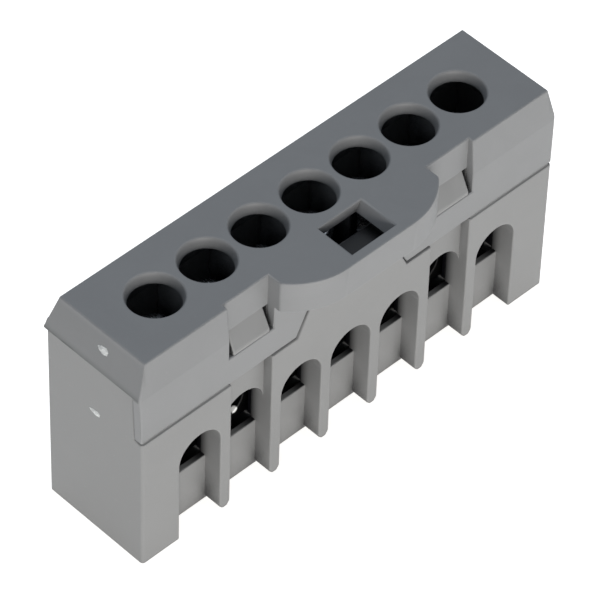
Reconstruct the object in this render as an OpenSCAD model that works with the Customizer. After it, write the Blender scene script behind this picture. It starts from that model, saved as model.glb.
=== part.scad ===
// Insulated power distribution block with a row of screw clamps on one common brass bar.
// A moulded base holds the bar and guides each wire in through an arched opening in its front.
// A clip-on cover carries the screwdriver wells and a front bulge with a square hole.
// Frame: X along the row, -Y the wire side, +Z up. The origin is under the middle of the outer box.

/* [Terminals] */
// Number of terminals
ways = 7; // [7:1:12]
// Distance between neighbouring terminals
pitch = 9; // [9:0.25:12]
// From the outer terminals' axes to the end faces
end_margin = 10.1; // [9.5:0.1:14]
// Height of the wire bores above the underside
wire_z = 12.7; // [12.3:0.1:13.4]

/* [Body] */
// Depth of the base from the rib fronts to the back
body_depth = 17.9; // [17:0.1:20]
// Height over everything
total_h = 36.8; // [36:0.1:42]
// From the rib fronts back to the terminals' upright axes
axis_set = 8.65; // [8.6:0.05:9]
// Height of the ledge that the cover's front skirt stands over
seam_z = 22.9; // [21:0.1:24]
// Thickness of the end and back walls
wall_t = 1.8; // [1.2:0.1:2]
// Thickness of the floor
floor_t = 2; // [1.2:0.1:4]
// Radius of the upright outer corners
corner_r = 0.5; // [0.4:0.1:1]

/* [Wire channels] */
// Width of a channel, which is twice the radius of its arch
channel_w = 7.2; // [6.6:0.1:7.4]
// Depth of a channel between the ribs
channel_depth = 2.9; // [2.4:0.1:3.1]
// Height of the lip under the wire opening
entry_z = 8.4; // [7.5:0.1:9]
// Height of the arch's crown
crown_z = 17.5; // [16.5:0.1:18]
// Thickness of the wall behind a channel
guide_t = 1; // [0.8:0.1:1.2]
// Setback of the front wall in the two latch bays
bay_set = 1.6; // [1.6:0.1:2]
// Thickness of the cross walls between the chambers
cross_t = 1.4; // [1:0.1:1.6]
// Height of the cross walls beside the bar
cross_z = 17.5; // [14:0.1:20]

/* [Terminal bar] */
// Width of the bar across the row
bar_w = 7.6; // [7.2:0.1:7.8]
// Height of the bar
bar_h = 12; // [11:0.1:12.4]
// Height of the bar's underside
bar_z = 8.5; // [8.2:0.1:8.9]
// Diameter of the wire bores
wire_bore_d = 6; // [5:0.1:6.4]
// Edge bevel at the bar's ends
bar_bevel = 0.5; // [0.2:0.1:1]

/* [Clamp screws] */
// Diameter of the threaded shank
screw_d = 5.8; // [5:0.1:6]
// Length under the head
screw_len = 10.2; // [9.8:0.1:10.6]
// Diameter of the head
head_d = 6.6; // [6.2:0.1:6.8]
// Height of the head
head_h = 3; // [2:0.1:3.4]
// Bevel round the head
head_bevel = 0.5; // [0.2:0.1:0.8]
// Width of the driver slot
slot_w = 1; // [0.8:0.1:1.2]
// Depth of the driver slot
slot_depth = 1.5; // [1:0.1:1.8]
// Span of the cross recess
cross_span = 3.8; // [3:0.1:4.5]
// Diameter of the pressure pad
pad_d = 4.6; // [4:0.1:5]
// Thickness of the pressure pad
pad_t = 1.4; // [1.2:0.1:1.6]
// Diameter of the screw's tip inside the pad
tip_d = 2.4; // [1.6:0.1:3]
// Height of the screw's tip
tip_h = 0.9; // [0.6:0.1:1]

/* [Cover] */
// Height of the cover above the end and back walls of the base
cover_h = 5.7; // [4.9:0.1:6.2]
// Thickness of the top plate
plate_t = 1.7; // [1.2:0.1:2.2]
// Thickness of the cover's walls and skirt
skirt_t = 1.3; // [1:0.1:1.3]
// Setback of the skirt behind the rib fronts
skirt_set = 0.2; // [0.1:0.05:0.2]
// How far the cover's ends stand proud of the base's ends at the foot of their taper
end_lap = 0.3; // [0:0.05:0.6]
// Inward taper of the ends
end_taper = 1.45; // [0.5:0.05:2]
// Inward taper of the front
front_taper = 0.55; // [0.5:0.05:1.3]
// Inward taper of the back, from its lip to the top face
back_taper = 1.75; // [1:0.05:2.4]
// How far the lip along the cover's back stands proud of the base
back_lip = 0.4; // [0.2:0.05:0.8]
// Height of that lip
back_lip_h = 1.5; // [1:0.1:2.5]
// Step between that lip and the back above it
lip_step = 0.2; // [0.1:0.05:0.3]
// Diameter of a screwdriver well under its mouth
well_d = 7; // [6.9:0.1:7.4]
// Diameter of a well at the top face
well_mouth_d = 7.9; // [7.5:0.1:8.4]
// Depth of the lip that locates the cover inside the base
spigot_h = 1.5; // [1:0.1:3]
// Thickness of that lip
spigot_t = 0.9; // [0.6:0.1:1.2]
// Thickness of the ribs that hold the bar down
press_t = 1.2; // [0.8:0.1:1.6]

/* [Latches] */
// Width of a latch window and of the pocket above it
window_w = 7.8; // [7.4:0.1:7.8]
// Height of a window
window_h = 3.6; // [3.2:0.1:4]
// From the top face down to a window's upper edge
window_drop = 5.4; // [4.6:0.1:5.5]
// Setback of the pocket's back behind the rib fronts
pocket_set = 1.55; // [1.55:0.05:1.8]
// Width of the latch tongue
tongue_w = 6.3; // [5.5:0.1:6.6]
// Thickness of the latch tongue
tongue_t = 1.3; // [1:0.1:1.5]
// Height of the flat nose on the tongue's tooth
nose_h = 0.6; // [0.3:0.1:1]

/* [Front bulge] */
// Width of the bulge
bulge_w = 28.2; // [24:0.2:28.2]
// Reach of the bulge in front of the ribs
bulge_reach = 4.6; // [4:0.1:6]
// Height of the bulge
bulge_h = 5.1; // [4.4:0.1:5.6]
// Radius of the bulge's front corners
bulge_r = 10.6; // [8:0.1:11]
// Width of the bulge's flat front between those corners
bulge_flat = 11.8; // [10:0.2:14]
// Width of the square hole
hole_w = 7.8; // [6:0.1:9]
// Depth of the square hole from front to back
hole_depth = 6.2; // [5:0.1:6.4]
// How far each side of the hole leans inward through the plate
hole_lean = 0.9; // [0:0.1:1]
// Width of the base's riser at the ledge
riser_w = 19.8; // [16:0.2:22]
// Width of the riser where it has narrowed
riser_top_w = 15.8; // [12:0.2:16]
// Height over which the riser narrows
riser_taper_h = 4; // [3:0.1:6]

/* [Clearances] */
// Visible seam between the cover and the base
seam_gap = 0.2; // [0.1:0.05:0.2]
// Gap round pieces that slip together
slip = 0.1; // [0.05:0.01:0.15]
// Radial clearance of the screws in the bar and of their tips in the pads
turn_gap = 0.08; // [0.05:0.01:0.1]
// Air between the flat faces of a screw and its pad
face_gap = 0.05; // [0.03:0.01:0.1]

/* [Hidden] */
$fn = 64;
ids = [for (i = [1:ways]) i];

body_l = (ways - 1) * pitch + 2 * end_margin;
half_l = body_l / 2;
cover_half_l = half_l + end_lap;
// The rib fronts and the back face, placed so that the outer box is centred on Y
front_y = (bulge_reach - body_depth - back_lip) / 2;
back_y = front_y + body_depth;
screw_y = front_y + axis_set;
skirt_y = front_y + skirt_set;
upright_y = front_y + bay_set;
chamber_y = front_y + channel_depth + guide_t;
bulge_y = front_y - bulge_reach;
bar_top_z = bar_z + bar_h;
bar_l = ways * pitch - cross_t - 2 * slip;
arch_r = channel_w / 2;
plate_z = total_h - plate_t;
bulge_z = total_h - bulge_h;
// Here the cover meets the end and back walls
shoulder_z = total_h - cover_h;
window_top_z = total_h - window_drop;
window_z = window_top_z - window_h;
// A parked pad just clears the wire bore, and its screw stands on it
pad_z = wire_z + wire_bore_d / 2 + face_gap;
shank_z = pad_z + pad_t + face_gap;
head_z = shank_z + screw_len;
tongue_top_z = window_top_z - face_gap;
bay_ids = [2, ways - 1];
cut = 1;

function way_x(i) = (i - (ways + 1) / 2) * pitch;
function between_x(i) = way_x(i) + pitch / 2;

// A box from one corner to the opposite one
module span(low, high) {
    translate(low) cube(high - low);
}

// A profile drawn in X and Z, given thickness from y0 to y1
module from_front(y0, y1) {
    translate([0, y1, 0]) rotate([90, 0, 0]) linear_extrude(y1 - y0) children();
}

// A profile drawn in Y and Z, given thickness from x0 to x1
module from_side(x0, x1) {
    translate([x0, 0, 0]) rotate([90, 0, 90]) linear_extrude(x1 - x0) children();
}

// A rectangle with round corners, from one corner to the opposite one
module round_rect(low, high, r) {
    size = high - low;
    translate(low + [r, 0]) square(size - [2 * r, 0]);
    translate(low + [0, r]) square(size - [0, 2 * r]);
    for (x = [low[0] + r, high[0] - r], y = [low[1] + r, high[1] - r])
        translate([x, y]) circle(r);
}

// The arched outline of a channel, from height z up to the crown
module arch(z) {
    translate([-arch_r, z]) square([channel_w, crown_z - arch_r - z]);
    translate([0, crown_z - arch_r]) circle(arch_r);
}

// Outline of the riser in the middle of the base, and with side > 0 of the notch round it
module riser_outline(side, top) {
    low = riser_w / 2 + side;
    high = riser_top_w / 2 + side;
    polygon([
        [-low, seam_z - cut], [low, seam_z - cut], [low, seam_z],
        [high, seam_z + riser_taper_h], [high, top],
        [-high, top], [-high, seam_z + riser_taper_h], [-low, seam_z]
    ]);
}

// Base: outer form, chambers, channels, latch tongues and the middle riser
module base_block() {
    linear_extrude(seam_z) round_rect([-half_l, front_y], [half_l, back_y], corner_r);
    // Above the ledge the front stands back behind the skirt, with square front corners
    intersection() {
        linear_extrude(shoulder_z) round_rect([-half_l, front_y], [half_l, back_y], corner_r);
        span([-half_l, upright_y, 0], [half_l, back_y, shoulder_z]);
    }
    from_front(front_y, upright_y + tongue_t)
        riser_outline(0, bulge_z - seam_gap);
}

module base_hollow() {
    inner = half_l - wall_t;
    span([-inner, chamber_y, floor_t], [inner, back_y - wall_t, shoulder_z + cut]);
    span([-inner, upright_y + tongue_t, seam_z], [inner, back_y - wall_t, shoulder_z + cut]);
}

// Cross walls carry the bar in their notches. The outer two stop its ends.
module cross_walls() {
    for (i = [1:ways - 1])
        translate([between_x(i), 0, 0]) difference() {
            span([-cross_t / 2, chamber_y - slip, floor_t - slip],
                [cross_t / 2, back_y - wall_t + slip, cross_z]);
            span([-cross_t, screw_y - bar_w / 2 - slip, bar_z],
                [cross_t, screw_y + bar_w / 2 + slip, cross_z + cut]);
        }
    for (i = [0, ways])
        translate([between_x(i), 0, 0])
            span([-cross_t / 2, chamber_y - slip, floor_t - slip],
                [cross_t / 2, back_y - wall_t + slip, bar_top_z]);
}

module channels() {
    for (i = ids)
        translate([way_x(i), 0, 0]) {
            from_front(front_y - cut, front_y + channel_depth) arch(-cut);
            from_front(front_y - cut, chamber_y + cut) arch(entry_z);
        }
    // Two bays have their whole front wall set back, up to the ledge
    for (i = bay_ids)
        translate([way_x(i), 0, 0])
            span([-arch_r, front_y - cut, -cut], [arch_r, upright_y, seam_z + cut]);
}

// The gaps that free a tongue from the wall beside it
module tongue_slots() {
    for (i = bay_ids, side = [0, 1])
        translate([way_x(i), 0, 0]) mirror([side, 0, 0])
            span([tongue_w / 2, front_y - cut, seam_z + slip],
                [window_w / 2, upright_y + tongue_t + cut, shoulder_z + cut]);
}

// A tongue's part above the wall, with the ramped tooth that catches the window's lower edge
module tongue_tooth() {
    lip_z = window_z + face_gap;
    from_side(-tongue_w / 2, tongue_w / 2) polygon([
        [upright_y + tongue_t, shoulder_z - cut], [upright_y + tongue_t, tongue_top_z],
        [upright_y, tongue_top_z], [skirt_y, lip_z + nose_h], [skirt_y, lip_z],
        [upright_y + slip, lip_z]
    ]);
}

module base() {
    color([0.66, 0.66, 0.65]) union() {
        difference() {
            base_block();
            base_hollow();
            channels();
            tongue_slots();
        }
        cross_walls();
        for (i = bay_ids)
            translate([way_x(i), 0, 0]) tongue_tooth();
    }
}

// Outline of the bulge seen from above, moved inward by inset
module bulge_outline(inset, back) {
    half_w = bulge_w / 2 - inset;
    flat = bulge_flat / 2;
    r = bulge_r - inset;
    center_y = bulge_y + bulge_r;
    intersection() {
        union() {
            translate([-flat, bulge_y + inset]) square([2 * flat, back - bulge_y]);
            for (x = [-flat, flat])
                translate([x, center_y]) circle(r);
        }
        translate([-half_w, bulge_y]) square([2 * half_w, back - bulge_y]);
    }
}

// The cover's outer form: its tapered top and its skirt over the base's front, in one profile
module cover_form() {
    intersection() {
        from_front(front_y, back_y + back_lip) polygon([
            [-half_l, seam_z + seam_gap], [half_l, seam_z + seam_gap], [cover_half_l, shoulder_z],
            [cover_half_l - end_taper, total_h], [-cover_half_l + end_taper, total_h],
            [-cover_half_l, shoulder_z]
        ]);
        from_side(-cover_half_l, cover_half_l) polygon([
            [skirt_y, seam_z + seam_gap], [skirt_y + skirt_t, seam_z + seam_gap],
            [skirt_y + skirt_t, shoulder_z], [back_y + back_lip - lip_step, shoulder_z],
            [back_y + back_lip - back_taper, total_h], [skirt_y + front_taper, total_h],
            [skirt_y, shoulder_z]
        ]);
        linear_extrude(total_h)
            round_rect([-cover_half_l, skirt_y], [cover_half_l, back_y + back_lip], corner_r);
    }
}

// The hollow under the plate, whose sides follow the outer ones at one wall's thickness
module cover_hollow() {
    low = shoulder_z - cut;
    function inner(taper) = skirt_t + taper * (plate_z - shoulder_z) / cover_h;
    intersection() {
        from_front(front_y, back_y) polygon([
            [-half_l + skirt_t, low], [half_l - skirt_t, low], [half_l - skirt_t, shoulder_z],
            [half_l - inner(end_taper), plate_z], [-half_l + inner(end_taper), plate_z],
            [-half_l + skirt_t, shoulder_z]
        ]);
        from_side(-half_l, half_l) polygon([
            [skirt_y + skirt_t, low], [back_y - skirt_t, low], [back_y - skirt_t, shoulder_z],
            [back_y - inner(back_taper), plate_z], [skirt_y + inner(front_taper), plate_z],
            [skirt_y + skirt_t, shoulder_z]
        ]);
    }
}

// The proud lip along the foot of the back, which leans like the back and ends in a sloped step
module rear_lip() {
    lean = back_taper * back_lip_h / cover_h;
    from_side(-cover_half_l + corner_r, cover_half_l - corner_r) polygon([
        [back_y - skirt_t, shoulder_z], [back_y + back_lip, shoulder_z],
        [back_y + back_lip - lean, shoulder_z + back_lip_h],
        [back_y - skirt_t, shoulder_z + back_lip_h + skirt_t]
    ]);
}

// The lip that reaches down inside the end and back walls, and the shelf it hangs from
module spigot() {
    out_x = half_l - wall_t - slip;
    out_y = back_y - wall_t - slip;
    front = upright_y + tongue_t + slip;
    difference() {
        union() {
            span([-out_x, front, shoulder_z - spigot_h], [out_x, out_y, shoulder_z + skirt_t]);
            span([-half_l + skirt_t - slip, front, shoulder_z],
                [half_l - skirt_t + slip, back_y - skirt_t + slip, shoulder_z + skirt_t]);
        }
        span([-out_x + spigot_t, front - cut, 0], [out_x - spigot_t, out_y - spigot_t, total_h]);
    }
}

// Ribs under the plate, between the screws, that hold the bar down
module press_ribs() {
    for (i = [1:ways - 1])
        translate([between_x(i), 0, 0])
            span([-press_t / 2, screw_y - bar_w / 2, bar_top_z + face_gap],
                [press_t / 2, screw_y + bar_w / 2, plate_z + slip]);
}

module screw_wells() {
    for (i = ids)
        translate([way_x(i), screw_y, plate_z - cut]) {
            cylinder(d = well_d, h = plate_t + 2 * cut);
            translate([0, 0, cut]) cylinder(d1 = well_d, d2 = well_mouth_d, h = plate_t);
        }
}

// The flat recess in the tapered front above each window, and the window itself
module latch_pockets() {
    for (i = bay_ids)
        translate([way_x(i), 0, 0]) {
            span([-window_w / 2, front_y - cut, window_z],
                [window_w / 2, front_y + pocket_set, total_h + cut]);
            span([-window_w / 2, front_y - cut, window_z],
                [window_w / 2, upright_y + tongue_t + slip, window_top_z]);
        }
}

// The wall that backs each pocket above its window
module pocket_walls() {
    for (i = bay_ids)
        translate([way_x(i), 0, 0])
            span([-window_w / 2 - skirt_t, front_y + pocket_set, window_top_z],
                [window_w / 2 + skirt_t, front_y + pocket_set + skirt_t, plate_z + slip]);
}

module bulge() {
    translate([0, 0, bulge_z]) linear_extrude(bulge_h)
        bulge_outline(0, skirt_y + front_taper + slip);
}

module bulge_hollow() {
    translate([0, 0, bulge_z + skirt_t]) linear_extrude(plate_z - bulge_z - skirt_t)
        bulge_outline(skirt_t, screw_y - well_mouth_d / 2);
}

module square_hole() {
    half_w = hole_w / 2;
    low = half_w - hole_lean;
    from_front(front_y - hole_depth / 2, front_y + hole_depth / 2) polygon([
        [-low, plate_z - cut], [low, plate_z - cut], [low, plate_z], [half_w, total_h],
        [half_w, total_h + cut], [-half_w, total_h + cut], [-half_w, total_h], [-low, plate_z]
    ]);
}

module cover() {
    color([0.62, 0.63, 0.64]) union() {
        difference() {
            union() {
                cover_form();
                bulge();
                rear_lip();
            }
            cover_hollow();
            bulge_hollow();
            screw_wells();
            square_hole();
            latch_pockets();
            from_front(front_y - cut, upright_y) riser_outline(seam_gap, bulge_z);
        }
        pocket_walls();
        spigot();
        press_ribs();
    }
}

// Bar: one wire bore and one tapped hole for each terminal
module terminal_bar() {
    color([0.66, 0.64, 0.59]) difference() {
        translate([0, screw_y, 0]) from_front(-bar_w / 2, bar_w / 2) polygon([
            [-bar_l / 2, bar_z + bar_bevel], [-bar_l / 2 + bar_bevel, bar_z],
            [bar_l / 2 - bar_bevel, bar_z], [bar_l / 2, bar_z + bar_bevel],
            [bar_l / 2, bar_top_z - bar_bevel], [bar_l / 2 - bar_bevel, bar_top_z],
            [-bar_l / 2 + bar_bevel, bar_top_z], [-bar_l / 2, bar_top_z - bar_bevel]
        ]);
        for (i = ids) {
            translate([way_x(i), screw_y, wire_z]) rotate([90, 0, 0])
                cylinder(d = wire_bore_d, h = bar_w + 2 * cut, center = true);
            translate([way_x(i), screw_y, wire_z])
                cylinder(r = screw_d / 2 + turn_gap, h = bar_h);
        }
    }
}

// Screw: shank, bevelled head with a slot and a cross recess, and the tip that carries the pad
module clamp_screw(i) {
    color([0.78, 0.79, 0.80]) translate([way_x(i), screw_y, 0]) difference() {
        union() {
            translate([0, 0, shank_z - tip_h]) cylinder(d = tip_d, h = tip_h + cut);
            translate([0, 0, shank_z]) cylinder(d = screw_d, h = screw_len + cut);
            translate([0, 0, head_z]) cylinder(d = head_d, h = head_h - head_bevel);
            translate([0, 0, head_z + head_h - head_bevel])
                cylinder(d1 = head_d, d2 = head_d - 2 * head_bevel, h = head_bevel);
        }
        translate([0, 0, head_z + head_h - slot_depth]) {
            span([-head_d, -slot_w / 2, 0], [head_d, slot_w / 2, head_h]);
            span([-slot_w / 2, -cross_span / 2, 0], [slot_w / 2, cross_span / 2, head_h]);
        }
    }
}

// Pad: a disc that the screw pushes down on the wire without turning it
module pressure_pad(i) {
    color([0.70, 0.71, 0.73]) translate([way_x(i), screw_y, pad_z]) difference() {
        cylinder(d = pad_d, h = pad_t);
        translate([0, 0, pad_t - tip_h - 2 * face_gap])
            cylinder(r = tip_d / 2 + turn_gap, h = pad_t);
    }
}

base();
cover();
terminal_bar();
for (i = ids) {
    clamp_screw(i);
    pressure_pad(i);
}
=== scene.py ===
import math

import bmesh
import bpy
from mathutils import Matrix, Vector
from mathutils.bvhtree import BVHTree


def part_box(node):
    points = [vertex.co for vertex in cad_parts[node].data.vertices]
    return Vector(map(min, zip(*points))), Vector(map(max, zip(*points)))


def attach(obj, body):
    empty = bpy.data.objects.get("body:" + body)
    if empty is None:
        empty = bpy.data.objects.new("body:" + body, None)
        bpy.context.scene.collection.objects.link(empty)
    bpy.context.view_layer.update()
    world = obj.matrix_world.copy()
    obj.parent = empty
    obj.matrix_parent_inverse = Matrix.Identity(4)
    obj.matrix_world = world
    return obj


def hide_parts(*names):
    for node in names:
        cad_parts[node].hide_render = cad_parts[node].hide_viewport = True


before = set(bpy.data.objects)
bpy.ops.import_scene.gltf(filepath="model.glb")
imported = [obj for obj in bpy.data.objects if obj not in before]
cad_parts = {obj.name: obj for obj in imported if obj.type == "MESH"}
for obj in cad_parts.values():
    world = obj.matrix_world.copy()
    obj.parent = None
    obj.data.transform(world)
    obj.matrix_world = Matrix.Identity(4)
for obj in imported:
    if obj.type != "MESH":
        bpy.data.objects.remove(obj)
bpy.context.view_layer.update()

MM = 0.001
WAYS = 7

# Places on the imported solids

PITCH = 9.0                     # from one terminal to the next
ROW_HALF = WAYS * PITCH / 2     # half the length of the row
TOP_Z = 36.8                    # top face of the cover
FRONT_Y = -6.85                 # fronts of the ribs
RIB_T = 1.8                     # thickness of a rib
CHANNEL_HALF = 3.6              # half the width of a channel between two ribs
CHANNEL_BACK_Y = -3.95          # wall at the back of the channels
BAY_Y = -5.25                   # front wall of the base in its two latch bays
CROWN_Z = 17.5                  # crown of the channels' arches
SILL_Z = 8.4                    # sill under a wire opening
SEAM_Z = 22.9                   # ledge of the base under the cover's front skirt
TONGUE_TOP = 31.4               # upper edge of the latch windows, just over the ends of the tongues
SHOULDER_Z = 31.1               # where the taper of the cover's ends begins
COVER_H = 5.7                   # height of that taper
END_X, END_TAPER = 37.4, 1.45   # half length of the cover under its taper, and how far each end tapers in
HOLE_Y, HOLE_HALF = -6.4, 3.9   # about the middle of the square hole from front to back, and half its width
BAR_FRONT_Y = -2.0              # front of the terminal bar


# Camera: the photograph's standpoint, high over the wire side's left corner

CAMERA_AT = (-293.694, -286.837, 454.107)
CAMERA_RIGHT = (0.71952, -0.69407, 0.02342)
CAMERA_AHEAD = (0.48782, 0.48112, -0.72839)
SENSOR, LENS = 36, 274.265


def aim_camera():
    data = bpy.data.cameras.new("photo_camera")
    data.sensor_width = SENSOR
    data.lens = LENS
    data.clip_start, data.clip_end = 0.05, 20
    camera = bpy.data.objects.new("photo_camera", data)
    bpy.context.scene.collection.objects.link(camera)
    right = Vector(CAMERA_RIGHT).normalized()
    ahead = Vector(CAMERA_AHEAD).normalized()
    up = right.cross(ahead).normalized()
    turn = Matrix((right, up, -ahead)).transposed().to_4x4()
    camera.matrix_world = Matrix.Translation(Vector(CAMERA_AT) * MM) @ turn
    bpy.context.scene.camera = camera


aim_camera()


# Node helpers

class Sheet:
    """One node tree, with short calls for the nodes that the finishes use."""

    def __init__(self, tree):
        self.tree = tree

    def add(self, kind, inputs=None, **settings):
        node = self.tree.nodes.new(kind)
        for key, value in settings.items():
            setattr(node, key, value)
        for key, value in (inputs or {}).items():
            self.put(value, node.inputs[key])
        return node

    def put(self, value, socket):
        if isinstance(value, bpy.types.NodeSocket):
            self.tree.links.new(value, socket)
        else:
            socket.default_value = value

    def math(self, operation, a, b=0.0, clamp=False):
        node = self.add("ShaderNodeMath", operation=operation, use_clamp=clamp)
        self.put(a, node.inputs[0])
        self.put(b, node.inputs[1])
        return node.outputs[0]

    def product(self, mask, *others):
        for other in others:
            mask = self.math("MULTIPLY", mask, other)
        return mask

    def inverse(self, mask):
        return self.math("SUBTRACT", 1.0, mask, clamp=True)

    def band(self, value, low, high, to_low=0.0, to_high=1.0):
        """value from low to high, spread smoothly over to_low to to_high."""
        node = self.add("ShaderNodeMapRange", interpolation_type="SMOOTHSTEP", clamp=True)
        for key, item in zip(("Value", "From Min", "From Max", "To Min", "To Max"),
                             (value, low, high, to_low, to_high)):
            self.put(item, node.inputs[key])
        return node.outputs["Result"]

    def zone(self, along, none, full, at_none=0.0, at_full=1.0):
        """0 at none millimetres along an axis, passing smoothly to 1 at full millimetres."""
        return self.band(along, none * MM, full * MM, at_none, at_full)

    def apart(self, along, middle, none, full):
        """The same for the distance from a middle, on either side of it."""
        return self.zone(self.math("ABSOLUTE", self.math("SUBTRACT", along, middle * MM)), none, full)

    def axes(self, where):
        return self.add("ShaderNodeSeparateXYZ", {0: where}).outputs

    def blend(self, factor, a, b):
        node = self.add("ShaderNodeMix", data_type="RGBA")
        self.put(factor, node.inputs[0])
        self.put(a, node.inputs[6])
        self.put(b, node.inputs[7])
        return node.outputs[2]

    def stain(self, tone, mask, share, colour):
        """tone, turned to a colour by a share of a mask."""
        return self.blend(self.math("MULTIPLY", mask, share), tone, colour)

    def noise(self, where, scale, detail=3.0, rough=0.5, warp=0.0):
        return self.add("ShaderNodeTexNoise", {"Vector": where, "Scale": scale, "Detail": detail,
                                               "Roughness": rough, "Distortion": warp}).outputs["Fac"]

    def bump(self, height, distance, strength, normal=None):
        node = self.add("ShaderNodeBump", {"Height": height, "Distance": distance * MM, "Strength": strength})
        if normal is not None:
            self.put(normal, node.inputs["Normal"])
        return node.outputs["Normal"]


def new_group(name, inputs, outputs):
    """A shader node group with named sockets: inputs as {name: default}, outputs as names."""
    tree = bpy.data.node_groups.new(name, "ShaderNodeTree")
    for key, value in inputs.items():
        kind = "NodeSocketVector" if isinstance(value, tuple) else "NodeSocketFloat"
        tree.interface.new_socket(key, in_out="INPUT", socket_type=kind).default_value = value
    for key in outputs:
        tree.interface.new_socket(key, in_out="OUTPUT", socket_type="NodeSocketFloat")
    sheet = Sheet(tree)
    return sheet, sheet.add("NodeGroupInput").outputs, sheet.add("NodeGroupOutput").inputs


def place(sheet, group, **values):
    """A group in a material, with its own values."""
    node = sheet.add("ShaderNodeGroup")
    node.node_tree = group
    for key, value in values.items():
        sheet.put(value, node.inputs[key])
    return node.outputs


# Shared effects

HERE = (0.0, 0.0, 0.0)          # default of the Where sockets, which every material links


def mould_skin_group():
    """The spark-eroded skin of a moulding: fine grain, shallow pits and slow clouds where the melt flowed."""
    sheet, given, out = new_group("mould_skin", {"Where": HERE, "Grain": 7000.0, "Cloud": 90.0},
                                  ("Height", "Clouds", "Specks"))
    grain = sheet.noise(given["Where"], given["Grain"], 4.0, 0.6)
    pits = sheet.add("ShaderNodeTexVoronoi", {"Vector": given["Where"],
                     "Scale": sheet.math("MULTIPLY", given["Grain"], 0.45)}).outputs["Distance"]
    sheet.put(sheet.math("ADD", sheet.math("MULTIPLY", grain, 0.7), sheet.math("MULTIPLY", pits, 0.3)),
              out["Height"])
    sheet.put(sheet.noise(given["Where"], given["Cloud"], 3.0, 0.55, 0.8), out["Clouds"])
    specks = sheet.noise(given["Where"], sheet.math("MULTIPLY", given["Cloud"], 22.0), 2.0, 0.7)
    sheet.put(sheet.band(specks, 0.66, 0.74), out["Specks"])
    return sheet.tree


def edge_wear_group():
    """Rubbed edges: near an edge a rounded normal leaves the true one, and noise breaks the line up."""
    sheet, given, out = new_group("edge_wear", {"Where": HERE, "Reach": 0.3 * MM, "Breakup": 500.0},
                                  ("Wear",))
    soft = sheet.add("ShaderNodeBevel", {"Radius": given["Reach"]}, samples=4).outputs[0]
    true = sheet.add("ShaderNodeNewGeometry").outputs["Normal"]
    agree = sheet.add("ShaderNodeVectorMath", {0: soft, 1: true}, operation="DOT_PRODUCT").outputs["Value"]
    near = sheet.band(sheet.math("SUBTRACT", 1.0, agree), 0.01, 0.16)
    patchy = sheet.band(sheet.noise(given["Where"], given["Breakup"], 4.0, 0.6), 0.35, 0.7, 0.25, 1.0)
    sheet.put(sheet.product(near, patchy), out["Wear"])
    return sheet.tree


def dust_group():
    """Fine dust that settles on what faces up, thicker in some patches."""
    sheet, given, out = new_group("settled_dust", {"Where": HERE, "Patch": 160.0}, ("Dust",))
    up = sheet.axes(sheet.add("ShaderNodeNewGeometry").outputs["Normal"])["Z"]
    patch = sheet.band(sheet.noise(given["Where"], given["Patch"], 5.0, 0.65), 0.42, 0.75)
    sheet.put(sheet.product(sheet.band(up, 0.3, 0.95), patch), out["Dust"])
    return sheet.tree


def tool_lines_group():
    """Fine lines that a tool leaves along a metal face: stretched noise, with a few deeper strokes."""
    sheet, given, out = new_group("tool_lines", {"Where": HERE, "Stretch": (1.0, 1.0, 1.0)},
                                  ("Lines", "Strokes"))
    drawn = sheet.add("ShaderNodeVectorMath", {0: given["Where"], 1: given["Stretch"]},
                      operation="MULTIPLY").outputs["Vector"]
    sheet.put(sheet.noise(drawn, 1.0, 4.0, 0.65), out["Lines"])
    sheet.put(sheet.band(sheet.noise(drawn, 0.4, 2.0, 0.5), 0.62, 0.7), out["Strokes"])
    return sheet.tree


def recess_group():
    """How deep a spot lies among its neighbours: 0 in the open, 1 far down in a well or an opening."""
    sheet, given, out = new_group("recess_depth", {"Reach": 6 * MM, "Open": 0.55, "Shut": 0.12}, ("Depth",))
    open_sky = sheet.add("ShaderNodeAmbientOcclusion", {"Distance": given["Reach"]}, samples=8).outputs["AO"]
    sheet.put(sheet.band(open_sky, given["Open"], given["Shut"]), out["Depth"])
    return sheet.tree


MOULD_SKIN = mould_skin_group()
EDGE_WEAR = edge_wear_group()
DUST = dust_group()
TOOL_LINES = tool_lines_group()
RECESS = recess_group()


# Finishes

MOULD_GLOSS = 0.35
# Painted shade for narrow joints and inner corners
JOINT_SHADE = (0.08, 0.082, 0.08, 1.0)
# Painted shade: near black, laid in the deep parts of wells and openings and in the square hole
DEEP_SHADE = (0.0015, 0.0015, 0.003, 1.0)
# Painted shadow along the cover's lapping ends, and painted shade over its end tapers
LAP_SHADOW_TONE = (0.06, 0.065, 0.062, 1.0)
# Painted shade on the bar's front and in the mouths of its bores
RIM_SHADE = (0.004, 0.004, 0.005, 1.0)
# Painted glint on the rim of one bore
RIM_GLINT = (0.95, 0.95, 0.93, 1.0)


def darker(colour, share):
    return [value * share for value in colour[:3]] + [1.0]


def new_finish(name, metallic, rough, specular=0.5):
    """A material with one Principled shader. Returns it with its sheet, shader and object coordinates."""
    finish = bpy.data.materials.new(name)
    finish.use_nodes = True
    finish.node_tree.nodes.clear()
    sheet = Sheet(finish.node_tree)
    shader = sheet.add("ShaderNodeBsdfPrincipled", {"Metallic": metallic, "Roughness": rough,
                                                    "Specular IOR Level": specular})
    sheet.add("ShaderNodeOutputMaterial", {"Surface": shader.outputs[0]})
    return finish, sheet, shader, sheet.add("ShaderNodeTexCoord").outputs["Object"]


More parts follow.
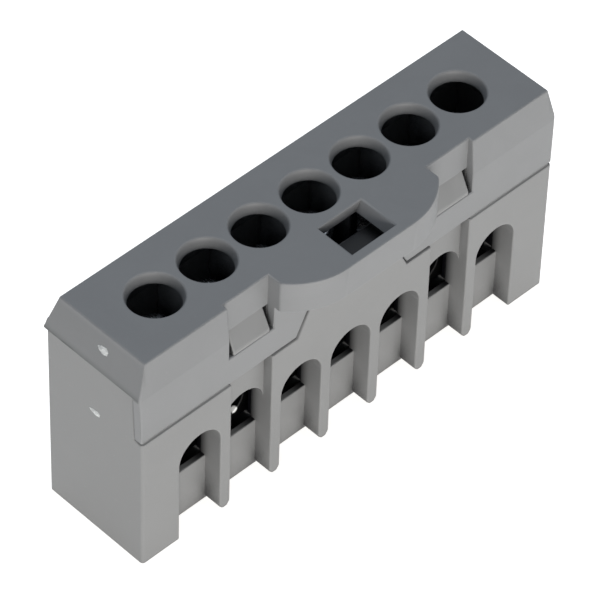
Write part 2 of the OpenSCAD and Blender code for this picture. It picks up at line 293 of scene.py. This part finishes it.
def moulding_finish(part, body, pale, cloud, recess):
    """Grey moulded plastic with grain, clouds, rubbed edges and dust on top, and painted shade in joints and
    recesses.
    """
    finish, sheet, shader, where = new_finish(f"{part}_moulding", 0.0, 0.5, MOULD_GLOSS)
    shade = darker(body, 0.93)
    skin = place(sheet, MOULD_SKIN, Where=where, Cloud=cloud)
    wear = place(sheet, EDGE_WEAR, Where=where, Reach=0.35 * MM)["Wear"]
    dust = place(sheet, DUST, Where=where)["Dust"]
    # Painted shade in narrow joints and inner corners, from the open sky seen within 0.9 mm
    joint = place(sheet, RECESS, Reach=0.9 * MM)["Depth"]
    # Painted shade deep in wells and openings, from how little open sky a spot sees, left out of narrow
    # joints
    recess_shade = sheet.product(place(sheet, RECESS, **recess)["Depth"], sheet.inverse(joint))
    if part == "base":
        # Painted shade across the sills and side walls of the wire openings
        recess_shade = opening_shade(sheet, where, recess_shade)
    else:
        # Painted shade in the square hole, added to the recess shade
        recess_shade = sheet.math("MAXIMUM", recess_shade, sheet.math("MULTIPLY", square_hole_shade(sheet, where), 0.8))
        # Painted shade and shadow at the cover's lapping ends; rubbed edges are left out there
        lap = lap_shade(sheet, where)
        wear = sheet.product(wear, sheet.inverse(lap))

    tone = sheet.blend(sheet.band(skin["Clouds"], 0.3, 0.7), shade, body)
    # Specks, dust and rubbed edges are the plastic's own; the joint and deep stains are painted shade
    for mask, share, colour in ((skin["Specks"], 0.14, pale), (dust, 0.12, pale), (wear, 0.3, pale),
                                (joint, 0.25, JOINT_SHADE), (recess_shade, 0.985, DEEP_SHADE)):
        tone = sheet.stain(tone, mask, share, colour)
    rough = sheet.math("ADD", sheet.band(skin["Clouds"], 0.25, 0.75, 0.46, 0.56),
                       sheet.math("MULTIPLY", dust, 0.14))
    rough = sheet.math("SUBTRACT", rough, sheet.math("MULTIPLY", wear, 0.12))
    normal = sheet.bump(skin["Height"], 0.02, 0.55)
    if part == "base":
        disc, rim = ejector_marks(sheet, where)
        tone = sheet.stain(tone, disc, 0.35, shade)
        rough = sheet.math("SUBTRACT", rough, sheet.math("MULTIPLY", disc, 0.12))
        normal = sheet.bump(sheet.math("SUBTRACT", rim, disc), 0.12, 0.8, normal)
    else:
        # Painted shade on the end tapers and a painted shadow line along their lower edges
        tone = sheet.stain(tone, lap, 0.45, LAP_SHADOW_TONE)

    sheet.put(tone, shader.inputs["Base Color"])
    sheet.put(rough, shader.inputs["Roughness"])
    sheet.put(sheet.math("MULTIPLY", sheet.inverse(recess_shade), MOULD_GLOSS), shader.inputs["Specular IOR Level"])
    sheet.put(normal, shader.inputs["Normal"])
    return finish


def ejector_marks(sheet, where):
    """Round witness marks of ejector pins on the underside: below every second terminal and each end wall."""
    pin_y, pin_r = 4.4, 1.75
    axes = sheet.axes(where)
    along = sheet.math("PINGPONG", axes["X"], PITCH * MM)
    back = sheet.math("SUBTRACT", axes["Y"], pin_y * MM)
    off = sheet.math("SQRT", sheet.math("ADD", sheet.product(along, along), sheet.product(back, back)))
    below = sheet.zone(axes["Z"], 0.06, 0.02)
    disc = sheet.product(sheet.zone(off, pin_r, pin_r - 0.1), below)
    rim = sheet.product(sheet.zone(off, pin_r + 0.2, pin_r), below)
    return disc, rim


def opening_shade(sheet, where, recess_shade):
    """Painted shade that deepens across each opening's sill and on the wall beside it, away from the light.
    """
    axes = sheet.axes(where)
    from_end = sheet.math("ADD", axes["X"], (ROW_HALF + PITCH) * MM)
    across = sheet.math("SUBTRACT", sheet.math("MODULO", from_end, PITCH * MM), PITCH / 2 * MM)
    inside = sheet.product(sheet.apart(axes["X"], 0.0, ROW_HALF, ROW_HALF - 0.3),
                           sheet.zone(axes["Y"], BAR_FRONT_Y + 0.8, BAR_FRONT_Y + 0.4))
    sill = sheet.product(sheet.apart(axes["Z"], SILL_Z, 0.2, 0.05), inside,
                         sheet.zone(axes["Y"], CHANNEL_BACK_Y, CHANNEL_BACK_Y + 0.2),
                         sheet.apart(across, 0.0, CHANNEL_HALF + 0.15, CHANNEL_HALF - 0.05))
    on_sill = sheet.zone(across, -0.5, CHANNEL_HALF, 0.0, 0.95)
    wall = sheet.product(sheet.zone(across, CHANNEL_HALF - 0.2, CHANNEL_HALF - 0.05), inside,
                         sheet.zone(axes["Z"], SILL_Z - 0.1, SILL_Z + 0.1),
                         sheet.zone(axes["Z"], CROWN_Z - 0.5, CROWN_Z - 3.0),
                         sheet.zone(axes["Y"], CHANNEL_BACK_Y - 0.85, CHANNEL_BACK_Y + 1.45))
    beside = sheet.product(recess_shade, sheet.inverse(sill))
    return sheet.math("MAXIMUM", sheet.math("ADD", beside, sheet.product(sill, on_sill)), wall)


def lap_shade(sheet, where):
    """Painted shade over each end of the cover, deepest at the rolled lower edge where it laps the base, with
    a broken painted shadow line along that edge.
    """
    axes = sheet.axes(where)
    above = (SHOULDER_Z - 0.4, SHOULDER_Z - 0.15)
    outer = sheet.product(sheet.apart(axes["X"], 0.0, END_X - 1.5, END_X - 1.2),
                          sheet.zone(axes["Y"], FRONT_Y + 0.3, FRONT_Y + 0.55))
    line_breakup = sheet.band(sheet.noise(where, 140.0, 3.0, 0.6), 0.4, 0.65)
    line = sheet.product(sheet.zone(axes["Z"], SHOULDER_Z + 0.35, SHOULDER_Z + 0.1), line_breakup,
                         sheet.zone(axes["Z"], *above))
    soft = sheet.product(sheet.zone(axes["Z"], SHOULDER_Z + 1.0, SHOULDER_Z, 0.35, 1.0),
                         sheet.zone(axes["Z"], *above, 0.15, 1.0))
    return sheet.product(outer, sheet.math("ADD", soft, sheet.math("MULTIPLY", line, 1.2)))


def square_hole_shade(sheet, where):
    """Painted shade in the square hole, from its lower walls to its floor."""
    axes = sheet.axes(where)
    return sheet.product(sheet.apart(axes["X"], 0.0, HOLE_HALF + 0.4, HOLE_HALF + 0.2),
                         sheet.apart(axes["Y"], HOLE_Y, HOLE_HALF + 0.4, HOLE_HALF + 0.2),
                         sheet.zone(axes["Z"], TOP_Z - 1.4, TOP_Z - 2.2))


def gate_finish():
    """Plastic whitened by stress where the runner was twisted off, torn rough across."""
    finish, sheet, shader, where = new_finish("stress_whitened_gate", 0.0, 0.6, 0.4)
    torn = sheet.noise(where, 3200.0, 5.0, 0.7, 1.2)
    cloud = sheet.noise(where, 900.0, 2.0)
    tone = sheet.blend(sheet.band(torn, 0.35, 0.65), (0.42, 0.43, 0.42, 1.0), (0.66, 0.67, 0.66, 1.0))
    tone = sheet.blend(sheet.band(cloud, 0.45, 0.75), tone, (0.36, 0.365, 0.36, 1.0))
    sheet.put(tone, shader.inputs["Base Color"])
    sheet.put(sheet.band(torn, 0.3, 0.7, 0.48, 0.72), shader.inputs["Roughness"])
    sheet.put(sheet.bump(torn, 0.05, 0.7), shader.inputs["Normal"])
    return finish


def metal_finish(name, bright, dull, stretch, rough, depth, dark=0.9, glint_at=None):
    """Plated metal with tool lines, uneven tarnish, brighter rubbed edges, painted shade in recesses and an
    optional painted glint.
    """
    finish, sheet, shader, where = new_finish(name, 1.0, rough)
    lines = place(sheet, TOOL_LINES, Where=where, Stretch=stretch)
    wear = place(sheet, EDGE_WEAR, Where=where, Reach=0.18 * MM, Breakup=900.0)["Wear"]
    # Painted shade in corners and recesses, from the open sky seen within 12 mm, laid on as a near-black of
    # the dull tone
    recess_shade = place(sheet, RECESS, Reach=12 * MM, Open=0.8, Shut=0.2)["Depth"]
    film = sheet.band(sheet.noise(where, 420.0, 5.0, 0.6, 0.6), 0.38, 0.68)
    worn = sheet.product(wear, sheet.inverse(recess_shade))
    tone = bright
    for mask, share, colour in ((film, 0.75, dull), (lines["Strokes"], 0.3, dull),
                                (recess_shade, dark, darker(dull, 0.08)), (worn, 0.5, bright)):
        tone = sheet.stain(tone, mask, share, colour)
    # Painted shade on the bar's front, and a painted glint: a white, non-metal spot on one bore's rim
    if glint_at:
        shadow, spot = rim_shade_and_glint(sheet, where, glint_at)
        tone = sheet.stain(tone, shadow, 0.85, RIM_SHADE)
        tone = sheet.blend(spot, tone, RIM_GLINT)
        sheet.put(sheet.inverse(spot), shader.inputs["Metallic"])
    sheet.put(tone, shader.inputs["Base Color"])
    uneven = sheet.math("ADD", sheet.band(lines["Lines"], 0.3, 0.7, rough - 0.06, rough + 0.08),
                        sheet.math("MULTIPLY", film, 0.1))
    sheet.put(sheet.math("SUBTRACT", uneven, sheet.math("MULTIPLY", wear, 0.1)), shader.inputs["Roughness"])
    height = sheet.math("SUBTRACT", lines["Lines"], sheet.math("MULTIPLY", lines["Strokes"], 0.6))
    sheet.put(sheet.bump(height, depth, 0.6), shader.inputs["Normal"])
    return finish


def rim_shade_and_glint(sheet, where, middle):
    """Painted shade on the front of the bar and in its bores' mouths, and one painted glint on the rim of a
    bore.
    """
    shadow = sheet.zone(sheet.axes(where)["Y"], BAR_FRONT_Y + 1.4, BAR_FRONT_Y + 0.5)
    spot_at = tuple(value * MM for value in middle)
    away = sheet.add("ShaderNodeVectorMath", {0: where, 1: spot_at}, operation="DISTANCE").outputs["Value"]
    spot = sheet.zone(away, 0.62, 0.35)
    return sheet.product(shadow, sheet.inverse(spot)), spot


base_finish = moulding_finish("base", body=(0.225, 0.225, 0.222, 1.0), pale=(0.34, 0.34, 0.335, 1.0),
                              cloud=85.0, recess={"Reach": 7.5 * MM, "Open": 0.52, "Shut": 0.12})
cover_finish = moulding_finish("cover", body=(0.218, 0.220, 0.221, 1.0), pale=(0.33, 0.333, 0.335, 1.0),
                               cloud=110.0, recess={"Reach": 12 * MM, "Open": 0.34, "Shut": 0.16})
scar_finish = gate_finish()
# The bar's painted glint sits at the point given last
bar_finish = metal_finish("nickel_plated_bar", bright=(0.34, 0.332, 0.315, 1.0),
                          dull=(0.17, 0.162, 0.148, 1.0), stretch=(900.0, 9000.0, 9000.0), rough=0.32,
                          depth=0.008, glint_at=(-16.35, -1.82, 10.2))
screw_finish = metal_finish("zinc_plated_screw", bright=(0.74, 0.76, 0.80, 1.0), dull=(0.44, 0.46, 0.49, 1.0),
                            stretch=(7000.0, 1500.0, 7000.0), rough=0.22, depth=0.006, dark=0.3)
pad_finish = metal_finish("zinc_plated_pad", bright=(0.66, 0.67, 0.70, 1.0), dull=(0.40, 0.41, 0.43, 1.0),
                          stretch=(5000.0, 5000.0, 2000.0), rough=0.36, depth=0.006)


# Piece making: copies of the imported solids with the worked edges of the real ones

WELD, SLIVER = 0.002, 0.0005    # points nearer than these are joined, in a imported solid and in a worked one
SHARP, FLAT = 20, 0.6           # in degrees: sharper edges are eased, flatter ones are dissolved
ROOM = 2.4                      # a face beside an eased edge is at least this many easings wide
RAY_LIFT = 0.02                 # how far off its edge a ray starts
FLAT_AREA = 8.0                 # square millimetres from which a face keeps sharp borders
FOLD_SHARE = 1.05               # the triangles of a folded face cover more than this share of it
FOLD_AREA = 0.02                # and this many square millimetres


def looks_out(tree, edge, reach):
    """True where nothing of an edge's own piece stands within reach in front of it."""
    middle = (edge.verts[0].co + edge.verts[1].co) / 2
    normal = sum((face.normal for face in edge.link_faces), Vector()).normalized()
    return tree.ray_cast(middle + normal * RAY_LIFT * MM, normal, reach * MM)[0] is None


def has_room(edge, ease):
    """True where both faces beside an edge are wide enough to lose ease millimetres."""
    start = edge.verts[0].co
    along = (edge.verts[1].co - start).normalized()
    for face in edge.link_faces:
        width = max(((v.co - start) - along * (v.co - start).dot(along)).length for v in face.verts)
        if width < ROOM * ease * MM:
            return False
    return True


def ease_edges(build, ease, reach, spared=None):
    """Rounds the sharp outward edges of a solid by ease millimetres, but for those that spared picks."""
    bmesh.ops.remove_doubles(build, verts=build.verts, dist=WELD * MM)
    bmesh.ops.dissolve_limit(build, angle_limit=math.radians(FLAT), verts=build.verts, edges=build.edges)
    build.normal_update()
    tree = BVHTree.FromBMesh(build)
    picked = [edge for edge in build.edges
              if len(edge.link_faces) == 2 and edge.calc_face_angle_signed(0.0) > math.radians(SHARP)
              and has_room(edge, ease) and looks_out(tree, edge, reach)
              and not (spared and spared((edge.verts[0].co + edge.verts[1].co) / 2 / MM))]
    bmesh.ops.bevel(build, geom=picked, offset=ease * MM, offset_type="OFFSET", segments=2, profile=0.5,
                    affect="EDGES", clamp_overlap=False, miter_outer="SHARP", miter_inner="SHARP")
    build.normal_update()
    refill_folded(build)


def refill_folded(build):
    """Fills flat faces afresh where their triangles would fold over a hole."""
    build.faces.ensure_lookup_table()
    covered = [0.0] * len(build.faces)
    for corners in build.calc_loop_triangles():
        a, b, c = (corner.vert.co for corner in corners)
        covered[corners[0].face.index] += (b - a).cross(c - a).length / 2
    planes = {}
    for face in build.faces:
        if covered[face.index] > FOLD_SHARE * face.calc_area() + FOLD_AREA * MM * MM:
            height = face.calc_center_median().dot(face.normal) / MM
            plane = tuple(round(v, 2) for v in face.normal) + (round(height, 1),)
            planes.setdefault(plane, []).append(face)
    for faces in planes.values():
        normal = faces[0].normal.copy()
        chosen = set(faces)
        rim = [edge for edge in build.edges if len(chosen.intersection(edge.link_faces)) == 1]
        bmesh.ops.delete(build, geom=faces, context="FACES_ONLY")
        bmesh.ops.triangle_fill(build, use_beauty=True, edges=rim, normal=normal)
    bmesh.ops.dissolve_degenerate(build, edges=build.edges, dist=SLIVER * MM)
    if planes:
        bmesh.ops.recalc_face_normals(build, faces=build.faces)
    build.normal_update()


def solid_of(node):
    """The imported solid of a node, as a mesh that can be worked."""
    build = bmesh.new()
    build.from_mesh(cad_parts[node].data)
    return build


def keep_flat(mesh):
    """Gives each large flat face sharp borders, so that no rounding beside it bends its shading."""
    for face in mesh.polygons:
        if face.area > FLAT_AREA * MM * MM:
            for corner in face.loop_indices:
                mesh.edges[mesh.loops[corner].edge_index].use_edge_sharp = True


def fit_piece(build, name, finish, body, node=None, crease=32):
    """Turns a worked mesh into a piece that rides on its body, in place of its node if one is named."""
    mesh = bpy.data.meshes.new(name)
    build.to_mesh(mesh)
    build.free()
    mesh.materials.append(finish)
    mesh.shade_smooth()
    mesh.set_sharp_from_angle(angle=math.radians(crease))
    keep_flat(mesh)
    piece = bpy.data.objects.new(name, mesh)
    bpy.context.scene.collection.objects.link(piece)
    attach(piece, body)
    if node:
        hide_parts(node)
    return piece


# Mouldings

FOOT_R, FOOT_STEPS = 0.8, 8     # rounding at the foot of a rib
WASTE = 0.2                     # how far the foot cutters reach past the rib
LIP_SET, LIP_RISE = 0.1, 0.16   # the lip inside the seam stands back from the rim, and rises over it
TONGUE_X = (12.0, 24.0)         # distances from the middle between which tongue and window lie flush
SLOT_X = (14.0, 22.2)           # distances from the middle between which the slots beside a tongue lie
SLOT_Y = (BAY_Y - 0.05, -3.0)   # front and back of those slots
SLOT_Z = SEAM_Z + 0.1           # floor of those slots


def left_sharp(spot):
    """True for edges that stay sharp, because two parts lie flush there or no wall is left for a rounding."""
    out = abs(spot.x)
    flush = abs(spot.z - TONGUE_TOP) < 0.3 and spot.y < CHANNEL_BACK_Y and TONGUE_X[0] < out < TONGUE_X[1]
    underside = spot.z < 0.1
    bay_arch = abs(spot.y - BAY_Y) < 0.02 and spot.z < CROWN_Z + 0.1
    in_slot = SLOT_Y[0] < spot.y < SLOT_Y[1] and SLOT_X[0] < out < SLOT_X[1]
    return flush or underside or bay_arch or (in_slot and abs(spot.z - SLOT_Z) < 0.05)


def foot_cutters():
    """The waste beside the rounded feet of the six ribs, as one mesh."""
    build = bmesh.new()
    near, far = FRONT_Y - 0.5, CHANNEL_BACK_Y - 0.02
    wall = RIB_T / 2
    profile = [(wall - FOOT_R, -WASTE), (wall - FOOT_R, 0.0)]
    for step in range(1, FOOT_STEPS + 1):
        turn = math.radians(90 * step / FOOT_STEPS)
        profile.append((wall - FOOT_R + FOOT_R * math.sin(turn), FOOT_R - FOOT_R * math.cos(turn)))
    profile += [(wall + WASTE, FOOT_R), (wall + WASTE, -WASTE)]
    for rib in range(WAYS - 1):
        middle = (rib - (WAYS - 2) / 2) * PITCH
        for side in (-1, 1):
            rings = [[build.verts.new(Vector((middle + side * out, y, up)) * MM) for out, up in profile]
                     for y in (near, far)]
            for k in range(len(profile)):
                after = (k + 1) % len(profile)
                build.faces.new((rings[0][k], rings[0][after], rings[1][after], rings[1][k]))
            build.faces.new(rings[0])
            build.faces.new(rings[1][::-1])
    bmesh.ops.recalc_face_normals(build, faces=build.faces)
    return build


def carve(build, cutter):
    """Cuts one mesh out of another, and frees both."""
    things = []
    for work in (build, cutter):
        mesh = bpy.data.meshes.new("carving")
        work.to_mesh(mesh)
        work.free()
        things.append(bpy.data.objects.new("carving", mesh))
        bpy.context.scene.collection.objects.link(things[-1])
    cut = things[0].modifiers.new("cut", "BOOLEAN")
    cut.operation, cut.solver, cut.object = "DIFFERENCE", "EXACT", things[1]
    done = bpy.data.meshes.new_from_object(things[0].evaluated_get(bpy.context.evaluated_depsgraph_get()))
    result = bmesh.new()
    result.from_mesh(done)
    meshes = [done] + [thing.data for thing in things]
    for thing in things:
        bpy.data.objects.remove(thing)
    for mesh in meshes:
        bpy.data.meshes.remove(mesh)
    return result


def seam_lip(build):
    """Raises a low lip inside the base's rim, so that the joint under the cover is a shallow groove."""
    rim = [face for face in build.faces if face.normal.z > 0.999
           and abs(face.calc_center_median().z / MM - SEAM_Z) < 0.02]
    slopes = [face for face in build.faces if 0.2 < face.normal.z < 0.9 and abs(face.normal.y) < 0.1
              and face.calc_center_median().y / MM < CHANNEL_BACK_Y and face.calc_area() > MM * MM]
    for faces, rise in ((rim, LIP_RISE), (slopes, LIP_RISE / 2)):
        bmesh.ops.inset_region(build, faces=faces, thickness=LIP_SET * MM, use_even_offset=True)
        grown = bmesh.ops.extrude_face_region(build, geom=faces)["geom"]
        bmesh.ops.delete(build, geom=faces, context="FACES")
        lifted = [item for item in grown if isinstance(item, bmesh.types.BMVert)]
        top = [item for item in grown if isinstance(item, bmesh.types.BMFace)]
        for vert in lifted:
            normal = sum((face.normal for face in vert.link_faces if face in top), Vector()).normalized()
            vert.co += normal * rise * MM


def draw_in_lip_ends(build):
    """Brings the ends of the cover's back lip into the tapered end faces."""
    for vert in build.verts:
        rise = vert.co.z / MM - SHOULDER_Z
        if rise > 0:
            limit = (END_X - rise * END_TAPER / COVER_H) * MM
            vert.co.x = max(-limit, min(limit, vert.co.x))


def moulding(node, finish):
    """Base or cover, eased along its edges, with the trim that is its own."""
    build = solid_of(node)
    if node == "base":
        build = carve(build, foot_cutters())
    else:
        draw_in_lip_ends(build)
    ease_edges(build, ease=0.18, reach=6.0, spared=left_sharp)
    if node == "base":
        seam_lip(build)
    piece = fit_piece(build, f"{node}_moulding", finish, "block", node)
    flats = piece.modifiers.new("true_flats", "WEIGHTED_NORMAL")
    flats.keep_sharp, flats.weight = True, 90


moulding("base", base_finish)
moulding("cover", cover_finish)


# Gate scars on the left end

SCAR_RISE, SCAR_SINK = 0.11, 0.02   # how proud a scar's middle stands, and how deep its rim lies in the wall
SPOKES = 40                     # corners of a round form


def ragged(turn):
    """The torn outline of a scar, as a share of its even radius."""
    return 1 + 0.09 * math.sin(3 * turn + 1.3) + 0.06 * math.sin(7 * turn) + 0.03 * math.sin(13 * turn + 0.6)


def gate_scar(name, middle, lean, length, height):
    """A low torn lens left on the left end face, along Y. lean turns it back with the taper."""
    build = bmesh.new()
    rings = 7
    grid = []
    for ring in range(1, rings + 1):
        out = ring / rings
        row = []
        for spoke in range(SPOKES):
            turn = 2 * math.pi * spoke / SPOKES
            along = out * ragged(turn) * length * math.cos(turn) / 2
            up = out * ragged(turn) * height * math.sin(turn) / 2
            torn = 1 + 0.25 * math.sin(9 * along) * math.sin(8 * up + 1)
            proud = SCAR_RISE * (1 - out ** 2.4) * torn - SCAR_SINK
            spot = Matrix.Rotation(lean, 3, "Y") @ Vector((-proud, along, up))
            row.append(build.verts.new((Vector(middle) + spot) * MM))
        grid.append(row)
    for inner, outer in zip(grid, grid[1:]):
        for spoke in range(SPOKES):
            after = (spoke + 1) % SPOKES
            build.faces.new((inner[spoke], outer[spoke], outer[after], inner[after]))
    build.faces.new(grid[0])
    build.faces.new(grid[-1][::-1])
    bmesh.ops.recalc_face_normals(build, faces=build.faces)
    fit_piece(build, name, scar_finish, "block")


gate_scar("gate_scar_base", middle=(-37.1, 1.95, 22.25), lean=0.0, length=2.1, height=0.95)
gate_scar("gate_scar_cover", middle=(-36.576, 0.85, 34.34),
          lean=math.atan2(END_TAPER, COVER_H), length=2.0, height=1.25)


# Terminal bar, with the mouths of its bores and tapped holes broken

def terminal_bar():
    build = solid_of("terminal_bar")
    ease_edges(build, ease=0.25, reach=4.0)
    fit_piece(build, "terminal_bar", bar_finish, "block", "terminal_bar")


terminal_bar()


# Clamp screws and pads

SHANK = (17.2, 27.4)            # from the pad to the head
THREAD_R, ROOT_R = 2.9, 2.36
LEAD = 1.0                      # climb of the thread in one turn
# The thread's outline in shares of a turn and radii: both ends of its crest, then both ends of its root
THREAD_FORM = ((0.0, THREAD_R), (0.125, THREAD_R), (0.4375, ROOT_R), (0.6875, ROOT_R))
POINT_BEVEL = 0.15              # how far the shank's lower end is bevelled in under the root
NECK = 0.7                      # plain length under the head
TIP_Z, TIP_R, TIP_BEVEL = 16.3, 1.2, 0.2    # lower end, radius and bevel of the tip inside the pad
TIP_OVERLAP = 0.3               # how far the tip runs up into the shank
HEAD_TURNS = (12, -35, 63, 5, -52, 28, 81)  # degrees by which each head is turned


def ring_point(middle, radius, turn, z):
    """A point of a turned form round an upright axis, where turn is a share of a full turn."""
    angle = 2 * math.pi * turn
    return (middle + Vector((radius * math.cos(angle), radius * math.sin(angle), z))) * MM


def threaded_shank(build, middle):
    """A right-hand thread: rows of points that climb with the turn, held between the shank's ends."""
    low, high = SHANK
    levels = [(turn + share, form) for turn in range(-1, int(high - low) + 2) for share, form in THREAD_FORM]
    columns = []
    for spoke in range(SPOKES):
        share = spoke / SPOKES
        column = []
        for level, form in levels:
            held = min(max(low + LEAD * (level + share), low), high)
            radius = min(form, ROOT_R - POINT_BEVEL + (held - low), ROOT_R + max(0.0, high - NECK - held))
            column.append(build.verts.new(ring_point(middle, radius, share, held)))
        columns.append(column)
    for spoke in range(SPOKES):
        last = spoke == SPOKES - 1
        here, after = columns[spoke], columns[0 if last else spoke + 1]
        climb = len(THREAD_FORM) if last else 0
        for row in range(len(levels) - 1 - climb):
            build.faces.new((here[row], after[row + climb], after[row + climb + 1], here[row + 1]))
    bmesh.ops.remove_doubles(build, verts=build.verts, dist=SLIVER * MM)
    bmesh.ops.dissolve_degenerate(build, edges=build.edges, dist=SLIVER * MM)
    loose = [vert for vert in build.verts if not vert.link_faces]
    bmesh.ops.delete(build, geom=loose, context="VERTS")
    bmesh.ops.holes_fill(build, edges=[edge for edge in build.edges if edge.is_boundary], sides=0)


def lathe(build, middle, profile):
    """A closed turned form from (radius, height) points, first and last on the axis."""
    rings = []
    for radius, z in profile:
        count = 1 if radius == 0 else SPOKES
        rings.append([build.verts.new(ring_point(middle, radius, k / SPOKES, z)) for k in range(count)])
    for lower, upper in zip(rings, rings[1:]):
        for k in range(SPOKES):
            after = (k + 1) % SPOKES
            corners = [lower[k % len(lower)], lower[after % len(lower)], upper[after % len(upper)],
                       upper[k % len(upper)]]
            build.faces.new(list(dict.fromkeys(corners)))


def screw_head(node, middle, degrees):
    """The head of a packed screw as a mesh, closed below, eased and turned."""
    head = solid_of(node)
    bmesh.ops.remove_doubles(head, verts=head.verts, dist=WELD * MM)
    shank = [face for face in head.faces if face.calc_center_median().z < (SHANK[1] - 0.01) * MM]
    bmesh.ops.delete(head, geom=shank, context="FACES")
    bmesh.ops.holes_fill(head, edges=[edge for edge in head.edges if edge.is_boundary], sides=0)
    ease_edges(head, ease=0.12, reach=3.0)
    bmesh.ops.rotate(head, cent=middle * MM, matrix=Matrix.Rotation(math.radians(degrees), 3, "Z"),
                     verts=head.verts)
    mesh = bpy.data.meshes.new("head")
    head.to_mesh(mesh)
    head.free()
    return mesh


def clamp_screw(i):
    node = f"clamp_screw_{i}"
    low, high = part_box(node)
    middle = Vector(((low[0] + high[0]) / 2, (low[1] + high[1]) / 2, 0)) / MM
    head = screw_head(node, middle, HEAD_TURNS[i - 1])
    build = bmesh.new()
    threaded_shank(build, middle)
    tip_top = SHANK[0] + TIP_OVERLAP
    lathe(build, middle, [(0, TIP_Z), (TIP_R - TIP_BEVEL, TIP_Z), (TIP_R, TIP_Z + TIP_BEVEL),
                          (TIP_R, tip_top), (0, tip_top)])
    bmesh.ops.recalc_face_normals(build, faces=build.faces)
    build.from_mesh(head)
    bpy.data.meshes.remove(head)
    fit_piece(build, node, screw_finish, f"screw_{i}", node, crease=25)


def pressure_pad(i):
    node = f"pressure_pad_{i}"
    build = solid_of(node)
    ease_edges(build, ease=0.15, reach=3.0)
    fit_piece(build, node, pad_finish, f"pad_{i}", node)


for i in range(1, WAYS + 1):
    clamp_screw(i)
    pressure_pad(i)


# Studio: a pale floor, a soft sky and a low soft light in front. Its lengths are in metres.

FLOOR_HALF, FLOOR_DROP = 1.6, 0.05 * MM
FLOOR_TONES = (0.88, 0.87, 0.85, 1.0), (0.89, 0.88, 0.86, 1.0)
FLOOR_GLOW, GLOW_STRENGTH = (1.0, 0.985, 0.965, 1.0), 0.77
SKY, SKY_STRENGTH = (0.80, 0.88, 1.0, 1.0), 0.27


def softbox(name, at, target, size, power, tint):
    data = bpy.data.lights.new(name, "AREA")
    data.shape = "RECTANGLE"
    data.size, data.size_y = size
    data.energy = power
    data.color = tint
    lamp = bpy.data.objects.new(name, data)
    lamp.location = at
    lamp.rotation_euler = (Vector(target) - Vector(at)).to_track_quat("-Z", "Y").to_euler()
    bpy.context.scene.collection.objects.link(lamp)


def studio_floor():
    """The pale ground, which glows a little so that it comes out as white as the photo's."""
    mesh = bpy.data.meshes.new("studio_floor")
    corners = [(x * FLOOR_HALF, y * FLOOR_HALF, 0) for x, y in ((-1, -1), (1, -1), (1, 1), (-1, 1))]
    mesh.from_pydata(corners, [], [(0, 1, 2, 3)])
    floor = bpy.data.objects.new("studio_floor", mesh)
    floor.location.z = -FLOOR_DROP
    bpy.context.scene.collection.objects.link(floor)
    finish, sheet, shader, where = new_finish("studio_floor", 0.0, 0.8, 0.2)
    cloth = sheet.band(sheet.noise(where, 6.0, 2.0), 0.3, 0.7)
    sheet.put(sheet.blend(cloth, *FLOOR_TONES), shader.inputs["Base Color"])
    shader.inputs["Emission Color"].default_value = FLOOR_GLOW
    shader.inputs["Emission Strength"].default_value = GLOW_STRENGTH
    mesh.materials.append(finish)


def studio():
    scene = bpy.context.scene
    scene.view_settings.view_transform = "Standard"
    world = bpy.data.worlds.new("soft_sky")
    world.use_nodes = True
    sky = world.node_tree.nodes["Background"]
    sky.inputs["Color"].default_value = SKY
    sky.inputs["Strength"].default_value = SKY_STRENGTH
    scene.world = world
    studio_floor()
    softbox("front_softbox", at=(-0.75, -1.4, 0.30), target=(0, 0, 0.02), size=(1.3, 0.45), power=19.5,
            tint=(1.0, 0.975, 0.945))
    softbox("top_softbox", at=(0.3, 0.5, 1.5), target=(0, 0, 0), size=(1.2, 1.2), power=10.4,
            tint=(0.88, 0.94, 1.0))


studio()
